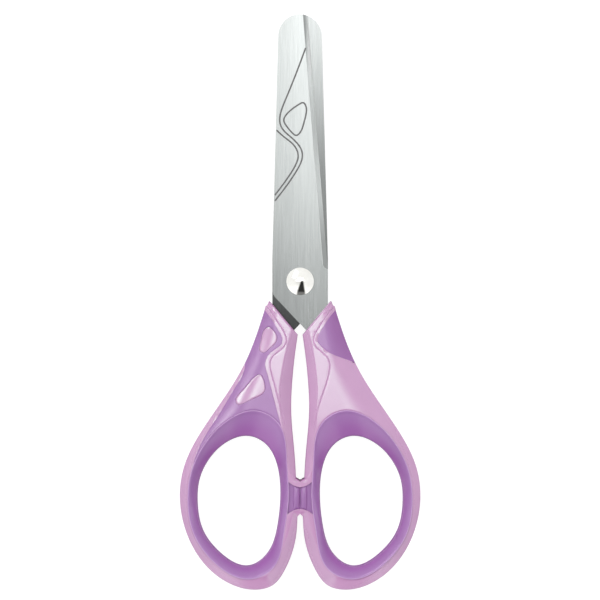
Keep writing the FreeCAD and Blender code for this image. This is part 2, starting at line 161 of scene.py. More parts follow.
INNER_PLAIN = [
    ((0.95, 44.5), 0.5, 0.5, 1.0), ((1.1, 42.5), 1.6, 1.0, 1.1), ((1.25, 39.5), 1.95, 1.2, 1.1),
    ((1.8, 33.5), 1.85, 1.2, 1.1), ((2.05, 28.5), 1.75, 1.2, 1.1), ((1.85, 23.5), 2.15, 1.35, 1.1),
    ((1.35, 18.0), 2.05, 1.25, 1.1),
    ((0.65, 13.0), 1.8, 1.0, 1.1), ((0.55, 12.05), 1.6, 0.9, 1.1),
]
INNER_GRIP = [
    ((0.95, 44.5), 0.5, 0.5, 1.0), ((1.1, 42.5), 1.6, 1.0, 1.1), ((1.25, 39.5), 1.95, 1.2, 1.1),
    ((1.8, 33.5), 2.0, 1.25, 1.1), ((2.05, 28.5), 2.6, 1.6, 1.1), ((1.85, 23.5), 2.9, 1.8, 1.1),
    ((1.35, 18.0), 2.45, 1.45, 1.1),
    ((0.65, 13.0), 1.9, 1.05, 1.1), ((0.55, 12.05), 1.6, 0.9, 1.1),
]
COLLAR_SLOPE = [((0.55, 12.05), 0.35, 0.3, 1.1), ((6.9, 4.5), 0.25, 0.2, 1.1)]
# Where the collar's face tips, its direction and its slope, and the line that it tips along.
COLLAR_BREAK = ((5.7, 6.9), (0.643, 0.766), 0.2)
COLLAR_CREASE = [(4.9, 6.2), (7.2, 8.1)]

# Rounded shoulders beside edges: (radius, drop).
LINER_SHOULDER = (0.25, 0.05)
GRIP_SHOULDER = (0.15, 0.03)
RIM_SHOULDER = (0.15, 0.02)
WINDOW_SHOULDER = (0.18, 0.07)
BOSS_SHOULDER = (0.3, 0.08)

PAD_CORNER_LOW = (SEAM_X, 52.4)
PAD_CORNER_HIGH = (SEAM_X, 45.1)
FACE_AT_COLLAR = 2.05  # half thickness at the collar and at the ring
FACE_AT_RING = 4.18
TAPER = (4.0, 33.0)  # depths between which the handle thickens
WALL_ROUND = 0.14  # rounding where a slope meets the upright wall
WRAP_INSET = 0.5  # thickness of the soft grip round the side
WRAP = (6.45, 18.42)  # depths between which the grip wraps the side
WRAP_X = 14.0  # the wrapped side is nearer the centre line than this
CROSSING_ABOVE = 34.0  # the sleeve's inner edge meets the ring liner above this depth
SEAT_DEPTH = 0.6
LEDGE = 0.06  # depth of the ledge under the grip's thin edge
BOSS_RISE = 0.03  # how far the bosses stand above the sleeve
LAP = 0.15  # the grip's thin edge laps this far over the frame
SEAM = 0.015  # half of the gap between two mouldings
STEP = 0.26  # spacing of points along an outline
GRID = 0.46  # spacing of points over a face
GROOVE_ROWS = (0, 0.06, -0.06, 0.12, -0.12, 0.2, -0.2)  # rows of points beside a groove and a crease
CREASE_ROWS = (0, 0.06, -0.06)
SHARP = 38.0  # edges that turn through more degrees than this stay sharp
LINER_SHARP = 60.0
FAR = 99.0
BLOCK = 1500  # points handled at a time


# ------------------------------------------------------------------ plane geometry
def flip(points):
    """(across, down) points as an array of (x, y)."""
    a = np.array(points, float)
    a[:, 1] *= -1
    return a


def lengths(line):
    """How far along a polyline each of its points is."""
    return np.concatenate([[0], np.cumsum(np.hypot(*np.diff(line, axis=0).T))])


def resample(line, step, closed=False):
    """Evenly spaced points along a polyline."""
    if closed:
        line = np.vstack([line, line[:1]])
    s = lengths(line)
    n = max(2, int(round(s[-1] / step)) + 1)
    t = np.linspace(0, s[-1], n)
    out = np.column_stack([np.interp(t, s, line[:, 0]), np.interp(t, s, line[:, 1])])
    return out[:-1] if closed else out


def spline_at(points, count, closed):
    """A cubic through the points, parametrised by chord length, at even parameters."""
    p = np.asarray(points, float)
    if closed:
        p = np.vstack([p, p[:1]])
    t = lengths(p)
    n = len(t)
    h = np.diff(t)
    a = np.zeros((n, n))
    b = np.zeros((n, 2))
    for i in range(1, n - 1):
        a[i, i - 1 : i + 2] = h[i - 1], 2 * (h[i - 1] + h[i]), h[i]
        b[i] = 6 * ((p[i + 1] - p[i]) / h[i] - (p[i] - p[i - 1]) / h[i - 1])
    if closed:
        a[0, 0], a[0, 1], a[0, n - 2] = 2 * (h[0] + h[-1]), h[0], h[-1]
        b[0] = 6 * ((p[1] - p[0]) / h[0] - (p[0] - p[n - 2]) / h[-1])
        a[n - 1, 0], a[n - 1, n - 1] = 1, -1
    else:
        a[0, 0] = a[n - 1, n - 1] = 1
    m = np.linalg.solve(a, b)
    u = np.linspace(0, t[-1], count, endpoint=not closed)
    i = np.clip(np.searchsorted(t, u, "right") - 1, 0, n - 2)
    hi = h[i][:, None]
    lo, up = (t[i + 1] - u)[:, None], (u - t[i])[:, None]
    return (
        m[i] * lo**3 / (6 * hi)
        + m[i + 1] * up**3 / (6 * hi)
        + (p[i] / hi - m[i] * hi / 6) * lo
        + (p[i + 1] / hi - m[i + 1] * hi / 6) * up
    )


def curve(points, closed=False, step=STEP):
    """A smooth line through (across, down) points, as evenly spaced (x, y) points."""
    return resample(spline_at(flip(points), 60 * len(points), closed), step, closed)


def nearest(points, line, closed=False):
    """Distance from each point to a polyline, and how far along it the nearest place is."""
    ends = np.vstack([line[1:], line[:1]]) if closed else line[1:]
    starts = line if closed else line[:-1]
    d = ends - starts
    length = np.hypot(d[:, 0], d[:, 1])
    along = np.concatenate([[0], np.cumsum(length)[:-1]])
    best = np.empty(len(points))
    where = np.empty(len(points))
    for i in range(0, len(points), BLOCK):
        p = points[i : i + BLOCK, None, :] - starts[None]
        t = np.clip((p * d).sum(2) / (length**2 + 1e-12), 0, 1)
        dist = np.hypot(p[:, :, 0] - t * d[:, 0], p[:, :, 1] - t * d[:, 1])
        k = dist.argmin(1)
        rows = np.arange(len(k))
        best[i : i + BLOCK] = dist[rows, k]
        where[i : i + BLOCK] = along[k] + t[rows, k] * length[k]
    return best, where


def inside(points, loop):
    """Whether each point is inside a closed polyline."""
    a, b = loop, np.roll(loop, -1, axis=0)
    out = np.zeros(len(points), bool)
    for i in range(0, len(points), BLOCK):
        x, y = points[i : i + BLOCK, 0][:, None], points[i : i + BLOCK, 1][:, None]
        cross = (a[:, 1] > y) != (b[:, 1] > y)
        at = a[:, 0] + (y - a[:, 1]) * (b[:, 0] - a[:, 0]) / (b[:, 1] - a[:, 1] + 1e-15)
        out[i : i + BLOCK] = (cross & (x < at)).sum(1) % 2 == 1
    return out


def shifted(line, distance, closed=False):
    """A polyline moved to its left by a distance."""
    if closed:
        tangent = np.roll(line, -1, axis=0) - np.roll(line, 1, axis=0)
    else:
        tangent = np.gradient(line, axis=0)
    tangent /= np.hypot(tangent[:, 0], tangent[:, 1])[:, None] + 1e-12
    return line + np.column_stack([-tangent[:, 1], tangent[:, 0]]) * distance


def turning(loop):
    """1 for an anticlockwise loop, -1 for a clockwise one."""
    nxt = np.roll(loop, -1, axis=0)
    return 1 if (loop[:, 0] * nxt[:, 1] - nxt[:, 0] * loop[:, 1]).sum() > 0 else -1


def shrunk(loop, distance):
    """A closed loop moved inwards."""
    return shifted(loop, distance * turning(loop), closed=True)


# ------------------------------------------------------------------ the handle's lines
RING_LINE = curve(RING_OUTER)
RING_SIDE = RING_LINE[:200]  # from the collar down the outer side
LINER_LOOP = curve(LINER_EDGE, closed=True)
COLLAR_LINE = resample(flip(COLLAR_TIP), 0.12)
SHANK_LINE = curve(SHANK_INNER)
DIAGONAL = resample(flip([SHANK_INNER[-1], COLLAR_TIP[0]]), STEP)
OUTER_LINE = np.vstack([COLLAR_LINE, RING_LINE])
GRIP_GROOVE_LINE = curve(SLEEVE_GROOVE)
PLAIN_GROOVE_LINE = curve(PATCH_GROOVE)
RIM_EDGE_LINE = curve(SLEEVE_RIM_EDGE)
INNER_EDGE_LINE = curve(SLEEVE_INNER_EDGE)
PATCH_LINE = curve(PATCH_EDGE)
WINDOWS = [curve(UPPER_WINDOW, True, 0.2), curve(LOWER_WINDOW, True, 0.2)]


def between(line, top, low):
    """The part of a line between two depths."""
    return line[(line[:, 1] <= -top) & (line[:, 1] >= -low)]


def sleeve_loop():
    """The sleeve's outline: down the side, along the rim, back over the liner and up the inner edge."""
    side = between(RING_SIDE, *WRAP)
    away_from_hole = np.argmin(np.hypot(*(LINER_LOOP - RIM_EDGE_LINE[-1]).T))
    over_top = np.roll(LINER_LOOP[::-1], away_from_hole + 1 - len(LINER_LOOP), axis=0)
    apart, along = nearest(over_top, INNER_EDGE_LINE)
    stop = np.argmin(np.where(over_top[:, 1] > -CROSSING_ABOVE, apart, FAR))
    past_crossing = lengths(INNER_EDGE_LINE) > along[stop] + 0.1
    return np.vstack([side, RIM_EDGE_LINE[1:-1], over_top[: stop - 1], INNER_EDGE_LINE[past_crossing][:-1]])


def patch_loop():
    """The small patch's outline."""
    side = between(RING_SIDE, *WRAP)[::-1]
    return np.vstack([PATCH_LINE[:-1], side])


def frame_loop():
    """The hard frame's outline, set in where the grip wraps its side and at the finger ring's liner."""
    beside_grip = (RING_LINE[:, 0] < WRAP_X) & (RING_LINE[:, 1] > -WRAP[1] + 0.1)
    inset = shifted(RING_LINE, -WRAP_INSET)[beside_grip]
    inset = inset[inset[:, 1] < -WRAP[0] - WRAP_INSET]
    ring = np.vstack([inset, RING_LINE[~beside_grip]])
    low, high = flip(PAD_ARC_LOW), flip(PAD_ARC_HIGH)
    start = np.argmin(np.hypot(*(LINER_LOOP - low[-1]).T))
    loop = np.roll(LINER_LOOP, -start, axis=0)[::-1]
    loop = np.roll(loop, 1, axis=0)
    stop = np.argmin(np.hypot(*(loop - high[0]).T) + (np.arange(len(loop)) < 20) * FAR)
    return np.vstack([
        COLLAR_LINE, ring, flip([PAD_CORNER_LOW]), resample(low, 0.3)[:-1], loop[1:stop],
        resample(high, 0.3), flip([PAD_CORNER_HIGH]), SHANK_LINE[:-1], DIAGONAL[:-1],
    ])


FRAME_LOOP = frame_loop()
SLEEVE_LOOP = sleeve_loop()
PATCH_LOOP = patch_loop()


# ------------------------------------------------------------------ the handle's heights
def face_height(points):
    """Half thickness of the handle's flat faces, with the taper's ends eased."""
    t = (-points[:, 1] - TAPER[0]) / (TAPER[1] - TAPER[0])
    eased = 0.5 * (t + 1 - np.sqrt((t - 1) ** 2 + 0.004))
    return FACE_AT_COLLAR + (FACE_AT_RING - FACE_AT_COLLAR) * np.clip(eased, 0, 1)


def blended(line, stations, where):
    """Width, drop and power of an edge's roll-off at distances along its line, eased between stations."""
    _, at = nearest(flip([s[0] for s in stations]), line)
    order = np.argsort(at)
    ends = at[order][0] - 3, at[order][-1] + 3
    steps = np.linspace(*ends, 600)
    reach = max(1, int(1.3 / (steps[1] - steps[0])))
    kernel = np.hanning(2 * reach + 3)[1:-1]
    values = []
    for k in (1, 2, 3):
        plain = np.interp(steps, at[order], np.array([s[k] for s in stations])[order])
        padded = np.pad(plain, reach, mode="edge")
        values.append(np.interp(where, steps, np.convolve(padded, kernel / kernel.sum(), "valid")))
    return values


def roll_off(points, line, stations):
    """How far the surface drops towards an edge."""
    distance, where = nearest(points, line)
    width, drop, power = blended(line, stations, where)
    slope = drop * np.clip(1 - distance / width, 0, 1) ** power
    near_wall = np.clip(WALL_ROUND - distance, 0, WALL_ROUND)
    corner = WALL_ROUND - np.sqrt(WALL_ROUND**2 - near_wall**2)
    return slope + corner


def crease(line, stations):
    """Where a roll-off meets the flat face."""
    width, _, _ = blended(line, stations, lengths(line))
    return shifted(line, -width[:, None])


def base_surface(points, outer, inner):
    """A face of the handle before its grooves and seats: flat, and rolled off at every edge."""
    height = face_height(points)
    drops = [
        roll_off(points, OUTER_LINE, outer),
        roll_off(points, SHANK_LINE, inner),
        roll_off(points, DIAGONAL, COLLAR_SLOPE),
    ]
    start, direction, slope = COLLAR_BREAK
    beyond = (points - flip([start])) @ np.array(direction)
    tip = slope * np.clip(beyond, 0, None)
    return height - np.maximum.reduce(drops) - tip - soft_edge(points, LINER_LOOP, *LINER_SHOULDER, closed=True)


def groove(points, line, depth=0.11, half_width=0.075):
    """Depth of a fine groove, which fades out over its last 4 mm."""
    distance, where = nearest(points, line)
    length = np.hypot(*np.diff(line, axis=0).T).sum()
    fade = np.clip((length - where) / 4.0, 0, 1)
    return depth * fade * np.exp(-((distance / half_width) ** 2))


def soft_edge(points, line, radius, drop, closed=False):
    """A rounded shoulder beside an edge."""
    distance, _ = nearest(points, line, closed)
    near = np.clip(1 - distance / radius, 0, 1)
    return drop * (1 - np.sqrt(1 - near**2 * 0.98))


def plain_surface(points):
    """The pink face with the small patch, as if the patch were not there."""
    return base_surface(points, OUTER_PLAIN, INNER_PLAIN) - groove(points, PLAIN_GROOVE_LINE)


def patch_surface(points):
    return base_surface(points, OUTER_PLAIN, INNER_PLAIN) - soft_edge(points, PATCH_LINE, *GRIP_SHOULDER)


def rim_surface(points):
    """The pink face beside and round the long sleeve."""
    return base_surface(points, OUTER_GRIP, INNER_GRIP) - groove(points, GRIP_GROOVE_LINE)


def sleeve_base(points):
    return base_surface(points, OUTER_GRIP, INNER_GRIP)


def sleeve_surface(points):
    edge = soft_edge(points, INNER_EDGE_LINE, *GRIP_SHOULDER) + soft_edge(points, RIM_EDGE_LINE, *RIM_SHOULDER)
    for window in WINDOWS:
        edge += soft_edge(points, window, *WINDOW_SHOULDER, closed=True)
    return sleeve_base(points) - edge


def boss_surface(points):
    """The two pink bosses that fill the sleeve's windows."""
    edge = np.zeros(len(points))
    for window in WINDOWS:
        shoulder = soft_edge(points, window, *BOSS_SHOULDER, closed=True)
        edge = np.maximum(edge, shoulder * inside(points, window))
    return sleeve_base(points) + BOSS_RISE - edge


def seat(points, surface, loop, clear):
    """The floor of a grip's recess, with the shallow ledge that its edge laps over."""
    distance, _ = nearest(points, loop, closed=True)
    return surface(points) - np.where(distance < LAP + clear, LEDGE - clear, SEAT_DEPTH - 2 * clear)


def frame_plain_face(points):
    """The frame's plain face, with the patch's seat sunk into it."""
    in_patch = inside(points, PATCH_LOOP)
    return np.where(in_patch, seat(points, patch_surface, PATCH_LOOP, 0.0), plain_surface(points))


def frame_grip_face(points):
    """The frame's other face: the sleeve's seat, with the two bosses that show through it."""
    in_sleeve = inside(points, SLEEVE_LOOP)
    in_window = inside(points, WINDOWS[0]) | inside(points, WINDOWS[1])
    height = np.where(in_sleeve, seat(points, sleeve_surface, SLEEVE_LOOP, 0.0), rim_surface(points))
    return np.where(in_window, boss_surface(points), height)


# ------------------------------------------------------------------ meshes
class Scatter:
    """Points for a triangulation, none nearer than a given distance to those before it."""

    def __init__(self):
        self.cells = {}
        self.points = []

    def add(self, points, apart):
        for x, y in points:
            i, j = int(x / 0.5 + 1000), int(y / 0.5 + 1000)
            near = False
            for a in (i - 1, i, i + 1):
                for b in (j - 1, j, j + 1):
                    for px, py in self.cells.get((a, b), ()):
                        if (px - x) ** 2 + (py - y) ** 2 < apart * apart:
                            near = True
            if not near:
                self.cells.setdefault((i, j), []).append((x, y))
                self.points.append((x, y))


def triangulate(loops, rows, grid=GRID):
    """A triangulated area: the first loop less the others, with extra rows of points."""
    points = np.vstack(loops)
    edges = []
    start = 0
    for loop in loops:
        n = len(loop)
        edges += [(start + i, start + (i + 1) % n) for i in range(n)]
        start += n
    scatter = Scatter()
    scatter.add(points, 0)

    def within(p, margin):
        ok = inside(p, loops[0])
        for hole in loops[1:]:
            ok &= ~inside(p, hole)
        for loop in loops:
            ok &= nearest(p, loop, closed=True)[0] > margin
        return p[ok]

    for line, closed, offsets in rows:
        for k in offsets:
            scatter.add(within(shifted(line, k, closed), 0.03), 0.055)
    low, high = loops[0].min(0), loops[0].max(0)
    lattice = []
    for i, y in enumerate(np.arange(low[1], high[1], grid * 0.866)):
        xs = np.arange(low[0] + (i % 2) * grid / 2, high[0], grid)
        lattice.append(np.column_stack([xs, np.full_like(xs, y)]))
    scatter.add(within(np.vstack(lattice), 0.1), grid * 0.55)
    coords = [Vector(p) for p in scatter.points]
    verts, _, faces, *_ = delaunay_2d_cdt(coords, edges, [], 0, 1e-7)
    verts = np.array([tuple(v) for v in verts])
    faces = np.array([f for f in faces if len(f) == 3])
    centres = verts[faces].mean(1)
    keep = inside(centres, loops[0])
    for hole in loops[1:]:
        keep &= ~inside(centres, hole)
    return verts, faces[keep]


def slab_mesh(verts, faces, top, bottom):
    """A closed shell between two height fields over one triangulated area."""
    used = np.unique(faces)
    index = -np.ones(len(verts), int)
    index[used] = np.arange(len(used))
    flat = verts[used]
    faces = index[faces]
    n = len(flat)
    upper = np.column_stack([flat, top(flat)])
    lower = np.column_stack([flat, bottom(flat)])
    a, b, c = flat[faces[:, 0]], flat[faces[:, 1]], flat[faces[:, 2]]
    area = (b[:, 0] - a[:, 0]) * (c[:, 1] - a[:, 1]) - (b[:, 1] - a[:, 1]) * (c[:, 0] - a[:, 0])
    faces[area < 0] = faces[area < 0][:, ::-1]
    half_edges = {(int(f[i]), int(f[(i + 1) % 3])) for f in faces for i in range(3)}
    walls = [(b, a, a + n, b + n) for a, b in half_edges if (b, a) not in half_edges]
    tris = [tuple(int(k) for k in f) for f in faces] + [tuple(int(k) + n for k in f[::-1]) for f in faces]
    return np.vstack([upper, lower]), tris + walls


def join(*parts):
    """Several closed shells as one list of points and faces."""
    points, faces = [], []
    start = 0
    for p, f in parts:
        points.append(p)
        faces += [tuple(k + start for k in face) for face in f]
        start += len(p)
    return np.vstack(points), faces


def add_mesh(name, points, faces, left=False, sharp=SHARP):
    """A mesh object from millimetre points about the pivot."""
    p = np.array(points, float)
    if left:
        p[:, 0] *= -1
        p[:, 2] *= -1
    p = p * MM + np.array(PIVOT)
    p = np.clip(p, np.array(CAD_LOW), np.array(CAD_HIGH))
    mesh = bpy.data.meshes.new(name)
    bm = bmesh.new()
    verts = [bm.verts.new(q) for q in p]
    for f in faces:
        bm.faces.new([verts[i] for i in f])
    bmesh.ops.recalc_face_normals(bm, faces=bm.faces)
    for face in bm.faces:
        face.smooth = True
    limit = math.radians(sharp)
    for edge in bm.edges:
        edge.smooth = edge.calc_face_angle(0) < limit
    bm.to_mesh(mesh)
    bm.free()
    obj = bpy.data.objects.new(name, mesh)
    bpy.context.collection.objects.link(obj)
    return obj


def both_halves(name, shape, node, materials, sharp=SHARP, pale=()):
    """One piece on each handle; the faces listed as pale take the second material, which paints a highlight on
    them.
    """
    for side, left, body in (("right", False, FRONT_BODY), ("left", True, REAR_BODY)):
        obj = add_mesh(side + "_" + name, *shape, left=left, sharp=sharp)
        for material in materials:
            obj.data.materials.append(material)
        for i in pale:
            obj.data.polygons[i].material_index = 1
        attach(obj, body)
        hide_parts(side + "_" + node)


# ------------------------------------------------------------------ pieces
def rows_inside(loop, distances):
    """Rows of points at distances inwards from a loop."""
    return loop, True, [k * turning(loop) for k in distances]


def frame_shape():
    """The hard moulding: a slab between its two faces, with rows of points where they bend."""
    rows = [
        rows_inside(FRAME_LOOP, (0.05, 0.1, 0.18, 0.3, 0.45, 0.65, 0.9, 1.2)),
        (GRIP_GROOVE_LINE, False, GROOVE_ROWS),
        (PLAIN_GROOVE_LINE, False, GROOVE_ROWS),
        (crease(SHANK_LINE, INNER_PLAIN), False, CREASE_ROWS),
        (crease(SHANK_LINE, INNER_GRIP), False, CREASE_ROWS),
        (resample(flip(COLLAR_CREASE), 0.1), False, (0, 0.05, -0.05)),
    ]
    rows += [rows_inside(loop, (-0.03, 0.03, LAP - 0.03, LAP + 0.03)) for loop in (PATCH_LOOP, SLEEVE_LOOP)]
    rows += [rows_inside(window, (-0.03, 0.03, 0.12, 0.25, 0.45, 0.7)) for window in WINDOWS]
    verts, faces = triangulate([FRAME_LOOP], rows)
    return slab_mesh(verts, faces, frame_plain_face, lambda p: -frame_grip_face(p))


def grip_shell(loops, outline, surface, rows, side):
    """One soft piece: its outer face, and the seat that it lies on."""
    side_line = between(RING_SIDE, WRAP[0] - 1, WRAP[1] + 1)
    side_rows = (-0.05, -0.1, -0.2, -0.35, -WRAP_INSET + 0.02, -WRAP_INSET - 0.02, -0.75)
    rows = rows + [(side_line, False, side_rows)]
    verts, faces = triangulate(loops, rows)

    def underside(points):
        distance, _ = nearest(points, side_line)
        return np.where(distance < WRAP_INSET, 0.005, seat(points, surface, outline, 0.04))

    if side > 0:
        return slab_mesh(verts, faces, surface, underside)
    return slab_mesh(verts, faces, lambda p: -underside(p), lambda p: -surface(p))


def patch_shape():
    loop = shrunk(PATCH_LOOP, SEAM)
    rows = [rows_inside(loop, (0.05, LAP + 0.01, LAP + 0.07, 0.4))]
    return grip_shell([loop], PATCH_LOOP, patch_surface, rows, 1)


def sleeve_shape():
    loop = shrunk(SLEEVE_LOOP, SEAM)
    holes = [shrunk(w, -SEAM * 1.6) for w in WINDOWS]
    rows = [rows_inside(loop, (0.05, LAP + 0.01, LAP + 0.07, 0.4, 0.65, 0.95))]
    rows += [rows_inside(hole, (-0.07, -0.15, -0.27)) for hole in holes]
    return grip_shell([loop, *holes], SLEEVE_LOOP, sleeve_surface, rows, -1)


DISH_SLOPE = 1.0  # fall of the ring liner's dished side, per unit of run
DISH_LOW = 2.0  # half height where that side reaches the finger hole, at the least
DISH_LIP = 0.45  # width of the rounded edge of the finger hole
DISH_RINGS = 14
LIP_RINGS = 9
LIP_FOOT = 0.3  # half height where that rounded edge meets the hole's wall


def liner_shape(count=240):
    """The soft ring as a loft: a rounded crest at its edge, a dished slope and a rounded hole wall."""
    edge = spline_at(flip(LINER_EDGE), count, True)
    hole = spline_at(flip(FINGER_HOLE), count, True)
    crest = FACE_AT_RING + 0.015
    across = hole - edge
    width = np.hypot(across[:, 0], across[:, 1])[:, None]
    unit = across / width
    profile = [(0.0, 0.6), (0.0, crest - 0.06)]
    profile += [(d, crest - (0.12 - d) ** 2 / 0.24) for d in (0.02, 0.05, 0.08, 0.12)]
    profile += [(d, crest - (d - 0.12) ** 2 / 1.5) for d in (0.2, 0.3, 0.4, 0.5, 0.62, 0.74)]
    rings = [(edge + unit * d, np.full(count, z)) for d, z in profile]
    start = profile[-1]
    run = width[:, 0] - start[0] - DISH_LIP
    end = np.maximum(start[1] - DISH_SLOPE * run, DISH_LOW)
    slope = (start[1] - end) / run
    for t in np.arange(1, DISH_RINGS + 1) / DISH_RINGS:
        d = start[0] + run * t
        fall = t - 0.06 * math.sin(math.pi * t)
        rings.append((edge + unit * d[:, None], start[1] + (end - start[1]) * fall))
    corner = end - slope * DISH_LIP
    for t in np.arange(1, LIP_RINGS + 1) / LIP_RINGS:
        height = (1 - t) ** 2 * end + 2 * t * (1 - t) * corner + t**2 * LIP_FOOT
        rings.append((hole - unit * DISH_LIP * (1 - t) ** 2, height))
    half = [np.column_stack([xy, z]) for xy, z in rings]
    loops = half + [r * np.array([1, 1, -1]) for r in reversed(half)]
    points = np.vstack(loops)
    n = len(loops)
    faces = []
    for j in range(n):
        a, b = j * count, (j + 1) % n * count
        faces += [(a + i, a + (i + 1) % count, b + (i + 1) % count, b + i) for i in range(count)]
    # The crest's faces take the second material, a paler purple: a painted highlight.
    bands = [j for j in range(n) if min(j, n - 2 - j) in (2, 3, 4, 5)]
    crest_highlight_faces = [j * count + i for j in bands for i in range(count)]
    return (points, faces), crest_highlight_faces


def pad_shape(rows=30, columns=28):
    """The stop pad: an upright barrel beside the centre line, standing on a lower web."""
    web, barrel, barrel_x, barrel_half = 3.7, 0.36, 0.88, 0.72
    end_x = PAD_X + 0.25  # a little way under the ring liner
    xs = np.concatenate([np.linspace(SEAM_X + 0.002, 1.8, columns), [2.2, PAD_X, end_x]])
    low = flip([*PAD_ARC_LOW, (end_x, 52.75)])
    high = flip([(end_x, 44.7), *PAD_ARC_HIGH])[::-1]
    y_low = np.interp(xs, low[:, 0], low[:, 1]) + SEAM
    y_high = np.interp(xs, high[:, 0], high[:, 1]) - SEAM
    n = len(xs)
    layers = []
    for side in (1, -1):
        for r in range(rows + 1):
            t = r / rows
            half = barrel_half * (0.8 + 0.2 * math.sin(math.pi * t))
            section = np.sqrt(np.clip(1 - ((xs - barrel_x) / half) ** 2, 0, 1))
            height = web + barrel * math.sin(math.pi * t) ** 0.35 * section
            height -= 0.2 * np.clip(1 - xs / 0.15, 0, 1)
            layers.append(np.column_stack([xs, y_low + (y_high - y_low) * t, side * height]))
    points = np.vstack(layers)
    under = (rows + 1) * n
    faces = []
    for r in range(rows):
        for i in range(n - 1):
            a, b, c, d = r * n + i, r * n + i + 1, (r + 1) * n + i + 1, (r + 1) * n + i
            faces += [(a, b, c, d), (a + under, d + under, c + under, b + under)]
        for i in (0, n - 1):
            a, d = r * n + i, (r + 1) * n + i
            faces.append((a, d, d + under, a + under))
    for r in (0, rows):
        for i in range(n - 1):
            a, b = r * n + i, r * n + i + 1
            faces.append((a, b, b + under, a + under))
    return points, faces


# ------------------------------------------------------------------ decoration on the front blade
SCROLL_LINES = [
    ([(1.25, -52.8), (0.0, -49.4), (-1.5, -45.5), (-3.3, -41.1), (-4.2, -38.8), (-4.6, -36.9),
      (-4.45, -35.4), (-3.7, -34.1), (-2.3, -32.8), (-0.65, -31.2), (0.3, -29.7), (0.5, -28.3),
      (0.1, -26.7), (-0.8, -25.0), (-3.3, -21.3), (-5.72, -18.2)], False),
    ([(-5.35, -34.2), (-3.3, -32.4), (-1.5, -30.9), (-0.7, -29.6), (-0.45, -28.3), (-0.85, -26.7),
      (-1.7, -25.1), (-4.1, -21.6), (-5.72, -19.5)], False),
    ([(0.72, -40.4), (1.36, -39.4), (1.36, -38.0), (0.75, -35.5), (-0.05, -33.6), (-0.9, -33.0), (-1.7, -33.5),
      (-3.2, -35.3), (-3.7, -36.5), (-3.2, -37.6), (-1.5, -39.2), (-0.14, -40.1)], True),
]
SCROLL_WIDTH = 0.36
SCROLL_HEIGHT = 0.012
SCROLL_SUNK = 0.03


def scroll_shape(face_z):
    """Fine etched lines as thin flat ribbons on the blade's outer face."""
    parts = []
    for points, closed in SCROLL_LINES:
        line = curve(points, closed, 0.3)
        sides = [shifted(line, k * SCROLL_WIDTH / 2, closed) for k in (1, -1)]
        n = len(line)
        low, high = face_z - SCROLL_SUNK, face_z + SCROLL_HEIGHT
        verts = np.vstack([np.column_stack([s, np.full(n, z)]) for z in (low, high) for s in sides])
        count = n if closed else n - 1
        faces = []
        for i in range(count):
            j = (i + 1) % n
            faces += [(2 * n + i, 2 * n + j, 3 * n + j, 3 * n + i), (i, n + i, n + j, j)]
            faces += [(i, j, 2 * n + j, 2 * n + i), (n + i, 3 * n + i, 3 * n + j, n + j)]
        if not closed:
            for i in (0, n - 1):
                faces.append((i, n + i, 3 * n + i, 2 * n + i))
        parts.append((verts, faces))
    return join(*parts)


# ------------------------------------------------------------------ materials
def srgb(r, g, b):
    def channel(v):
        v /= 255
        return v / 12.92 if v <= 0.04045 else ((v + 0.055) / 1.055) ** 2.4

    return channel(r), channel(g), channel(b), 1.0


class Tree:
    """The node tree of a material or a world, with short ways to add and join nodes."""

    def __init__(self, owner):
        owner.use_nodes = True
        self.tree = owner.node_tree
        self.tree.nodes.clear()

    def add(self, kind, **values):
        node = self.tree.nodes.new(kind)
        for key, value in values.items():
            if hasattr(node, key):
                setattr(node, key, value)
            else:
                node.inputs[key].default_value = value
        return node

    def link(self, a, out, b, into):
        self.tree.links.new(a.outputs[out], b.inputs[into])

    def math(self, operation, *inputs):
        node = self.add("ShaderNodeMath", operation=operation)
        for i, source in enumerate(inputs):
            if isinstance(source, bpy.types.NodeSocket):
                self.tree.links.new(source, node.inputs[i])
            else:
                node.inputs[i].default_value = source
        return node.outputs[0]

    def product(self, *inputs):
        result = inputs[0]
        for source in inputs[1:]:
            result = self.math("MULTIPLY", result, source)
        return result

    def smooth(self, source, low, high, to_low, to_high):
        """An eased change from to_low to to_high as the source goes from low to high."""
        node = self.add("ShaderNodeMapRange", interpolation_type="SMOOTHSTEP")
        limits = {"From Min": low, "From Max": high, "To Min": to_low, "To Max": to_high}
        for key, number in limits.items():
            node.inputs[key].default_value = number
        self.tree.links.new(source, node.inputs["Value"])
        return node.outputs["Result"]

    def step(self, source, low, high):
        """0 on low's side and 1 on high's, eased between."""
        if low > high:
            return self.smooth(source, high, low, 1.0, 0.0)
        return self.smooth(source, low, high, 0.0, 1.0)

    def axes(self, coordinate):
        """The three parts of a texture coordinate."""
        place = self.add("ShaderNodeTexCoord")
        split = self.add("ShaderNodeSeparateXYZ")
        self.link(place, coordinate, split, 0)
        return split.outputs


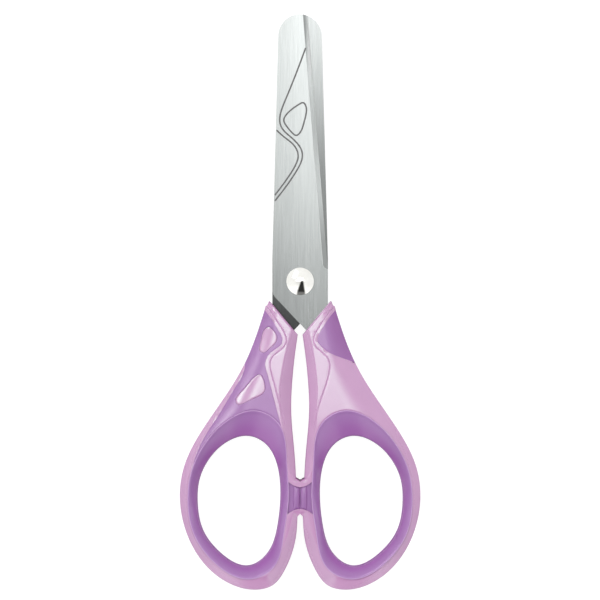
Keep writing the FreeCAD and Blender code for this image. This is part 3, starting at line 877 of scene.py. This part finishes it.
class Finish(Tree):
    """A material with one principled shader."""

    def __init__(self, name):
        self.material = bpy.data.materials.new(name)
        super().__init__(self.material)
        self.shader = self.add("ShaderNodeBsdfPrincipled")
        out = self.add("ShaderNodeOutputMaterial")
        self.link(self.shader, "BSDF", out, "Surface")

    def set(self, **values):
        """Uniform values of the shader, with _ for a space in their names."""
        for key, value in values.items():
            self.shader.inputs[key.replace("_", " ")].default_value = value

    def noise(self, scale, detail=3.0, stretch=(1, 1, 1), roughness=0.5):
        place = self.add("ShaderNodeTexCoord")
        mapping = self.add("ShaderNodeMapping", Scale=stretch)
        noise = self.add("ShaderNodeTexNoise", Scale=scale, Detail=detail, Roughness=roughness)
        self.link(place, "Object", mapping, "Vector")
        self.link(mapping, "Vector", noise, "Vector")
        return noise

    def ramp(self, source, out, low, high, dark, light):
        ramp = self.add("ShaderNodeValToRGB")
        for element, position, colour in zip(ramp.color_ramp.elements, (low, high), (dark, light)):
            element.position = position
            element.color = colour
        self.link(source, out, ramp, "Fac")
        return ramp

    def range(self, source, out, **limits):
        """A change of scale of a source, with limits such as To_Min."""
        node = self.add("ShaderNodeMapRange")
        for key, number in limits.items():
            node.inputs[key.replace("_", " ")].default_value = number
        self.link(source, out, node, "Value")
        return node

    def bump(self, source, out, strength, distance):
        bump = self.add("ShaderNodeBump", Strength=strength, Distance=distance)
        self.link(source, out, bump, "Height")
        self.link(bump, "Normal", self.shader, "Normal")

    def blade_painted_light(self, colour):
        """A blade's colour scaled by painted light and shade: painted shade on its inner face, darkest by the
        pivot, painted shade on its outer face towards the spine, and a painted highlight on its ground edge,
        brightest at the tip.
        """
        x, y, z = self.axes("Object")

        def along(start, end, low, high):
            """An eased change between two distances beyond the pivot."""
            return self.smooth(y, PIVOT.y + start, PIVOT.y + end, low, high)

        def blend(below, above, factor):
            return self.math("ADD", below, self.product(factor, self.math("SUBTRACT", above, below)))

        off_plane = self.math("SUBTRACT", z, PIVOT.z)
        height = self.math("ABSOLUTE", off_plane)
        edgewards = self.product(x, self.math("SIGN", off_plane))
        # Painted shade on the outer face, darker towards the spine.
        outer = self.smooth(edgewards, -0.0062, 0.003, 0.84, 1.0)
        # Painted shade on the inner face, darkest by the pivot.
        inner = self.math("ADD", along(-0.008, 0.006, 0.2, 0.42), along(0.02, 0.062, 0.0, 0.45))
        on_outside = self.step(height, 0.00006, 0.00012)
        faces = blend(inner, outer, on_outside)
        # Painted highlight on the ground edge, brightest towards the tip.
        ground = self.math("ADD", along(0.006, 0.032, 0.32, 1.0), along(0.03, 0.05, 0.0, 0.95))
        below_face = self.step(height, BLADE_FACE - 0.00002, BLADE_FACE - 0.00006)
        on_bevel = self.product(on_outside, below_face, self.step(edgewards, 0.001, 0.002))
        tinted = self.add("ShaderNodeVectorMath", operation="SCALE")
        self.link(colour, "Color", tinted, 0)
        self.tree.links.new(blend(faces, ground, on_bevel), tinted.inputs["Scale"])
        return tinted


def below_crest(m):
    """1 well below the crest of a ring liner, 0 at the crest. There the liner takes a deeper purple: painted
    shade.
    """
    height = m.math("ABSOLUTE", m.math("SUBTRACT", m.axes("Object")[2], PIVOT.z))
    return m.step(height, 0.0040, 0.0022)


def foot_of_ring(m):
    """1 on slopes that face away from the tips, as at the foot of each ring. There the pink takes a lighter
    colour: painted light.
    """
    normal = m.axes("Normal")
    shallow = m.step(m.math("ABSOLUTE", normal[2]), 0.6, 0.8)
    return m.product(m.step(normal[1], -0.28, -0.44), shallow)


def right_hand_slope(m):
    """0 on flat faces, 1 on slopes that face the right handle's side. There the purple takes a darker colour:
    painted shade.
    """
    return m.step(m.axes("Normal")[0], 0.1, 0.45)


def moulded_plastic(
    name, light, dark, roughness, slope_roughness, ior, gloss, tint, grain, grain_depth, other=None, where=None
):
    """Faintly mottled and grained plastic, with another colour where a mask is 1. That colour is painted light
    or shade on such a place.
    """
    m = Finish(name)
    colour = m.ramp(m.noise(160, 4), "Fac", 0.3, 0.75, dark, light)
    if other is None:
        m.link(colour, "Color", m.shader, "Base Color")
    else:
        blend = m.add("ShaderNodeMix", data_type="RGBA")
        m.tree.links.new(where(m), blend.inputs[0])
        m.link(colour, "Color", blend, 6)
        blend.inputs[7].default_value = other
        m.link(blend, 2, m.shader, "Base Color")
    fine = m.noise(grain, 2)
    rough = m.range(fine, "Fac", To_Min=roughness - 0.05, To_Max=roughness + 0.07)
    facing = m.math("ABSOLUTE", m.axes("Normal")[2])
    upright = m.smooth(facing, 0.08, 0.4, 0.5, 0.0)
    sloping = m.smooth(facing, 0.86, 0.92, slope_roughness, 0.0)
    worn = m.math("ADD", rough.outputs["Result"], m.math("ADD", upright, sloping))
    m.tree.links.new(worn, m.shader.inputs["Roughness"])
    m.bump(fine, "Fac", 0.12, grain_depth)
    m.set(Specular_IOR_Level=gloss, Specular_Tint=tint, IOR=ior)
    return m.material


def soft_rubber(name, light, dark, gloss, other=None, where=None):
    return moulded_plastic(name, light, dark, 0.22, 0.0, 1.5, gloss, WHITE, 4200, 0.00001, other, where)


def brushed_steel(name):
    """Ground lengthways: fine streaks along the blade in colour, roughness and bump."""
    m = Finish(name)
    streaks = m.noise(6000, 3, (1.0, 0.03, 1.0), 0.7)
    broad = m.noise(1500, 2, (1.0, 0.04, 1.0))
    both = m.add("ShaderNodeMix", data_type="FLOAT", Factor=0.35)
    m.link(streaks, "Fac", both, 2)
    m.link(broad, "Fac", both, 3)
    colour = m.ramp(both, 0, 0.3, 0.7, srgb(178, 182, 181), srgb(198, 202, 201))
    # The streaked colour is scaled by painted light and shade.
    m.link(m.blade_painted_light(colour), "Vector", m.shader, "Base Color")
    rough = m.range(both, 0, From_Min=0.3, From_Max=0.7, To_Min=0.15, To_Max=0.19)
    m.link(rough, "Result", m.shader, "Roughness")
    m.bump(streaks, "Fac", 0.05, 0.000002)
    m.link(m.add("ShaderNodeCombineXYZ", X=1.0), "Vector", m.shader, "Tangent")
    m.set(Anisotropic=1.0, Metallic=1.0)
    return m.material


def polished_metal(name):
    m = Finish(name)
    faint = m.noise(500, 3)
    colour = m.ramp(faint, "Fac", 0.3, 0.7, srgb(240, 239, 234), srgb(250, 250, 246))
    m.link(colour, "Color", m.shader, "Base Color")
    rough = m.range(faint, "Fac", To_Min=0.05, To_Max=0.11)
    m.link(rough, "Result", m.shader, "Roughness")
    m.set(Metallic=1.0)
    return m.material


def etched_line(name):
    m = Finish(name)
    colour = m.ramp(m.noise(1500, 3), "Fac", 0.3, 0.7, srgb(92, 92, 92), srgb(116, 116, 116))
    m.link(colour, "Color", m.shader, "Base Color")
    m.set(Roughness=0.7)
    return m.material


# Where a material has a second colour, it stands for the light on such a place: the plastic is the same.
WHITE = (1.0, 1.0, 1.0, 1.0)
# The pink's second colour, lighter at the foot of each ring, is painted light.
PINK = moulded_plastic(
    "pink_plastic", srgb(198, 144, 191), srgb(193, 138, 186), 0.13, 0.2, 1.62, 1.0, (0.66, 1.0, 0.76, 1.0),
    5200, 0.000005, srgb(209, 156, 202), foot_of_ring,
)
# The purple's second colour, darker on slopes facing right, is painted shade.
PURPLE = soft_rubber(
    "purple_rubber", srgb(156, 108, 168), srgb(150, 102, 162), 0.75, srgb(147, 92, 157), right_hand_slope
)
# The dish's second colour, a deeper purple low in the dish, is painted shade.
DISH_PURPLE = soft_rubber(
    "purple_rubber_dish", srgb(166, 121, 179), srgb(161, 115, 174), 0.55, srgb(161, 103, 172), below_crest
)
# A paler purple on the liner's crest: a painted highlight.
PAINTED_HIGHLIGHT_PURPLE = soft_rubber("purple_rubber_crest_painted_highlight", srgb(192, 154, 200), srgb(186, 148, 194), 0.55)
STEEL = brushed_steel("blade_steel")
RIVET = polished_metal("rivet_metal")
ETCH = etched_line("etched_line")


def dress(node, material):
    """Gives a CAD node that stays its finish."""
    obj = frame["nodes"][node]
    obj.data.materials.clear()
    obj.data.materials.append(material)


# ------------------------------------------------------------------ build
both_halves("frame_moulding", frame_shape(), "handle_frame", [PINK])
both_halves("grip_moulding", join(patch_shape(), sleeve_shape()), "grip_sleeve", [PURPLE])
liner, liner_highlight_faces = liner_shape()
liner_materials = [DISH_PURPLE, PAINTED_HIGHLIGHT_PURPLE]
both_halves("liner_moulding", liner, "ring_liner", liner_materials, LINER_SHARP, liner_highlight_faces)
both_halves("pad_moulding", pad_shape(), "stop_pad", [PURPLE])

for blade_node in ("front_blade", "rear_blade"):
    dress(blade_node, STEEL)
for rivet_node in ("pivot_rivet", "pivot_rivet_socket"):
    dress(rivet_node, RIVET)

scroll = add_mesh("front_blade_scroll", *scroll_shape(BLADE_FACE / MM))
scroll.data.materials.append(ETCH)
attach(scroll, FRONT_BODY)


# ------------------------------------------------------------------ stage
TENT_TOP = 0.88  # brightness of the tent straight overhead, part way down, and at the horizon
TENT_MIDDLE = 1.04
TENT_FOOT = 0.45
RIGHT_LOSS = 0.06  # how much dimmer the tent is on the right
FRONT = 0.2  # extra brightness of the tent beyond the handles
STRIP = 1.13  # extra brightness of a faint strip just beyond the tips
SIDE_GLOW = 2.4  # extra brightness of a low patch at the right, which only the ground edge sees
PANEL = 4.7  # extra brightness of the softbox past the strip
LEFT_LAMP = 5.8  # extra brightness of a long narrow lamp on the left
LAMP_TURN = (0.88, 0.47)  # cosine and sine of that lamp's turn from the scissors' length
CAMERA_STAND = 0.025  # how bright the dark camera stand is


def add_world():
    """A white tent, a softbox beyond the tips, and the camera's dark stand behind the handles."""
    world = bpy.data.worlds.new("studio")
    w = Tree(world)
    x, y, z = w.axes("Generated")
    aside = w.math("ABSOLUTE", x)
    low_down = w.step(z, 0.35, 0.15)

    tent = w.math("ADD", TENT_TOP, w.product(w.step(z, 0.99, 0.88), TENT_MIDDLE - TENT_TOP))
    tent = w.math("SUBTRACT", tent, w.product(w.step(z, 0.48, 0.15), TENT_MIDDLE - TENT_FOOT))
    tent = w.math("SUBTRACT", tent, w.product(w.step(x, 0.4, 0.75), RIGHT_LOSS))
    front = w.product(w.step(y, -0.15, -0.6), FRONT)
    near_middle_or_low = w.math("MAXIMUM", w.step(aside, 0.45, 0.25), low_down)
    strip = w.product(w.step(y, -0.014, 0.045), w.step(y, 0.14, 0.11), STRIP, near_middle_or_low)
    beside_tips = w.product(w.step(y, 0.03, 0.075), w.step(y, 0.14, 0.11))
    glow = w.product(w.step(x, 0.6, 0.8), low_down, SIDE_GLOW, beside_tips)
    across = w.product(w.step(x, -0.27, -0.06), w.step(x, 0.34, -0.12))
    panel = w.product(w.step(y, 0.11, 0.135), w.step(y, 0.36, 0.26), across, PANEL)

    cosine, sine = LAMP_TURN
    outward = w.math("ADD", w.product(x, -cosine), w.product(y, sine))
    lengthways = w.math("ADD", w.product(x, sine), w.product(y, cosine))
    on_lamp = w.step(w.math("ABSOLUTE", w.math("SUBTRACT", outward, 0.57)), 0.13, 0.04)
    beside_lamp = w.product(w.step(lengthways, 0.012, 0.035), w.step(lengthways, 0.6, 0.45))
    lamp = w.product(on_lamp, beside_lamp, LEFT_LAMP)

    centre = w.math("ADD", 0.16, w.product(y, 0.12))
    half_width = w.math("MINIMUM", w.math("ADD", 0.12, w.product(y, -0.25)), 0.3)
    off_stand = w.math("SUBTRACT", w.math("ABSOLUTE", w.math("SUBTRACT", x, centre)), half_width)
    foot_fade = w.math("SUBTRACT", 1.0, w.product(w.step(y, -0.72, -0.84), 0.15))
    length = w.product(w.step(y, 0.1, 0.03), foot_fade)
    stand = w.product(w.step(off_stand, 0.05, -0.08), length, 1 - CAMERA_STAND)

    bright = tent
    for extra in (front, strip, glow, panel, lamp):
        bright = w.math("ADD", bright, extra)
    studio = w.add("ShaderNodeBackground", Color=WHITE)
    w.tree.links.new(w.product(bright, w.math("SUBTRACT", 1.0, stand)), studio.inputs["Strength"])
    show_to_camera(w, studio, w.add("ShaderNodeBackground", Color=WHITE), "ShaderNodeOutputWorld")
    bpy.context.scene.world = world


def show_to_camera(tree, others, camera, output):
    """One shader for what the camera sees, and another for reflections and bounced light."""
    path = tree.add("ShaderNodeLightPath")
    mix = tree.add("ShaderNodeMixShader")
    tree.link(path, "Is Camera Ray", mix, 0)
    tree.link(others, 0, mix, 1)
    tree.link(camera, 0, mix, 2)
    tree.link(mix, 0, tree.add(output), "Surface")


def add_floor():
    """White to the camera with a soft shadow, and plain pale grey to everything else."""
    mesh = bpy.data.meshes.new("floor")
    r = 3.0
    mesh.from_pydata([(-r, -r, 0), (r, -r, 0), (r, r, 0), (-r, r, 0)], [], [(0, 1, 2, 3)])
    obj = bpy.data.objects.new("floor", mesh)
    obj.location.z = -0.00002
    bpy.context.collection.objects.link(obj)
    material = bpy.data.materials.new("floor_white")
    t = Tree(material)
    plain = t.add("ShaderNodeBsdfDiffuse", Color=(0.8, 0.8, 0.8, 1))
    shaded = t.add("ShaderNodeBsdfDiffuse", Color=(0.2, 0.2, 0.2, 1))
    glow = t.add("ShaderNodeEmission", Color=WHITE, Strength=0.94)
    seen = t.add("ShaderNodeAddShader")
    t.link(shaded, 0, seen, 0)
    t.link(glow, 0, seen, 1)
    show_to_camera(t, plain, seen, "ShaderNodeOutputMaterial")
    mesh.materials.append(material)


def add_camera():
    """A long lens straight above, so that upright walls hardly show."""
    view_width = 0.1359
    distance = 0.7
    sensor = 36.0
    camera = bpy.data.cameras.new("camera")
    camera.sensor_width = sensor
    camera.lens = sensor * distance / view_width
    camera.clip_start = 0.01
    obj = bpy.data.objects.new("camera", camera)
    obj.location = (-0.00003, 0.00039, PIVOT.z + distance)
    bpy.context.collection.objects.link(obj)
    bpy.context.scene.camera = obj


add_floor()
add_world()
add_camera()
bpy.context.scene.view_settings.view_transform = "Standard"
